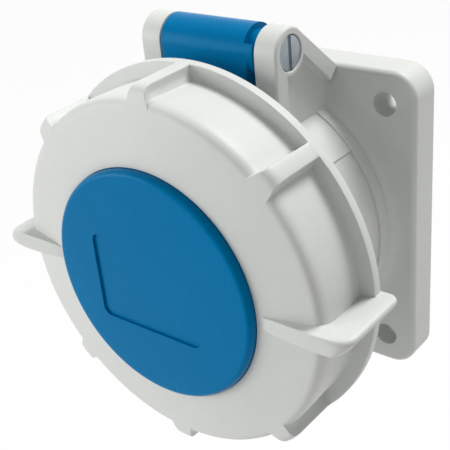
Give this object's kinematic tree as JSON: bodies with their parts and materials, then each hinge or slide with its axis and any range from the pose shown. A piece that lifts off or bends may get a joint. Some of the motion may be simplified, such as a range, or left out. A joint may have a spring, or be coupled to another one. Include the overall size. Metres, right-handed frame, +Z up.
{
  "type": "panel socket outlet",
  "caption": "Round panel socket outlet on a square flange, with a hinged blue lid that a grey bayonet ring locks shut.",
  "frame": {"origin": "centre of the four fixing holes, on the flange's mounting face", "axes": "+Z up, with the hinge at the top; -Y out of the front, along the plug's axis; +X to the right seen from the front"},
  "size_m": [0.098, 0.0772, 0.0949],
  "materials": {
    "grey_plastic": "fine satin moulded surface",
    "blue_plastic": "fine satin moulded surface",
    "insert_plastic": "plain moulded surface",
    "seal_rubber": "matt moulded rubber",
    "contact_brass": "turned and bright",
    "spring_steel": "drawn wire or strip",
    "zinc_steel": "zinc plated",
    "pin_steel": "satin stainless, turned head"
  },
  "bodies": {
    "housing": {"flange_housing": "grey_plastic", "flange_gasket": "seal_rubber", "contact_carrier": "insert_plastic", "carrier_seal": "seal_rubber", "terminal_block": "insert_plastic", "line_contact": "contact_brass", "neutral_contact": "contact_brass", "earth_contact": "contact_brass", "contact_springs": "spring_steel", "terminal_screws": "zinc_steel", "insert_screw": "zinc_steel", "bayonet_ramps": "grey_plastic", "retaining_ring": "spring_steel", "hinge_pin": "pin_steel", "pin_clip": "pin_steel", "lid_spring": "spring_steel"},
    "lid": {"lid_body": "blue_plastic", "lid_gasket": "seal_rubber", "lid_cap": "blue_plastic", "cap_seal": "seal_rubber", "cap_screws": "zinc_steel"},
    "ring": {"locking_ring": "grey_plastic", "bayonet_lugs": "grey_plastic"}
  },
  "joints": [
    {"name": "lid_hinge", "type": "hinge", "parent": "housing", "child": "lid", "pos_m": [0, -0.0256, 0.0449], "axis": [-1, 0, 0], "range_deg": [0, 130], "stiffness_Nm_per_rad": 0.03, "springref_deg": -34.38},
    {"name": "ring_turn", "type": "hinge", "parent": "lid", "child": "ring", "pos_m": [0, -0.045, 0], "axis": [0, 1, 0], "range_deg": [0, 45]}
  ]
}
